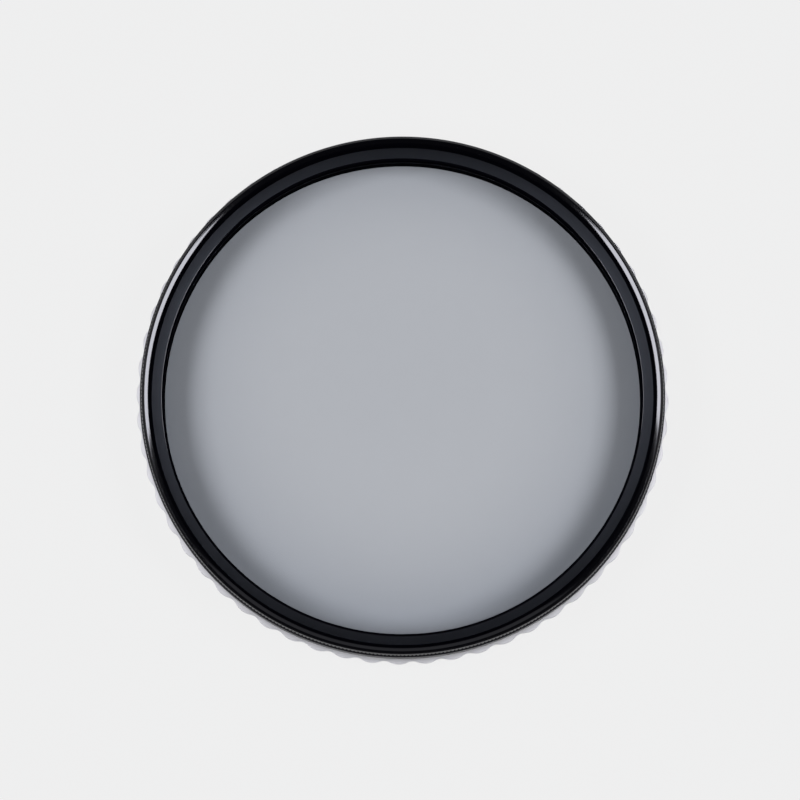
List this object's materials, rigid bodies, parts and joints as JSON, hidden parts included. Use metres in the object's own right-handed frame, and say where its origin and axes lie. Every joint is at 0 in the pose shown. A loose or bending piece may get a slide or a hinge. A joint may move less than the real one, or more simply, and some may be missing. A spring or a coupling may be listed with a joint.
{
  "type": "screw-in lens filter",
  "caption": "Round polarising lens filter: a knurled front ring with grey glass turns on a lobed mount ring that screws into a lens by its rear thread.",
  "frame": {"origin": "centre of the rear end of the rear thread, where the filter rests when it lies front up", "axes": "+Z along the optical axis, from the lens towards the subject; X and Y lie in the plane of the glass"},
  "size_m": [0.0814, 0.0814, 0.0094],
  "materials": {
    "black_anodised": "satin black anodised",
    "bright_aluminium": "bright turned and milled",
    "spring_steel": "drawn wire",
    "clear_glass": "polished and coated",
    "grey_film": "neutral grey film"
  },
  "bodies": {
    "mount": {"mount_ring": "black_anodised", "grip_ring": "bright_aluminium", "snap_ring": "spring_steel"},
    "front": {"rotating_ring": "black_anodised", "rear_glass": "clear_glass", "polarising_film": "grey_film", "front_glass": "clear_glass", "retaining_ring": "black_anodised"}
  },
  "joints": [
    {"name": "front_turn", "type": "hinge", "parent": "mount", "child": "front", "pos_m": [0, 0, 0.0031], "axis": [0, 0, 1], "continuous": true}
  ]
}
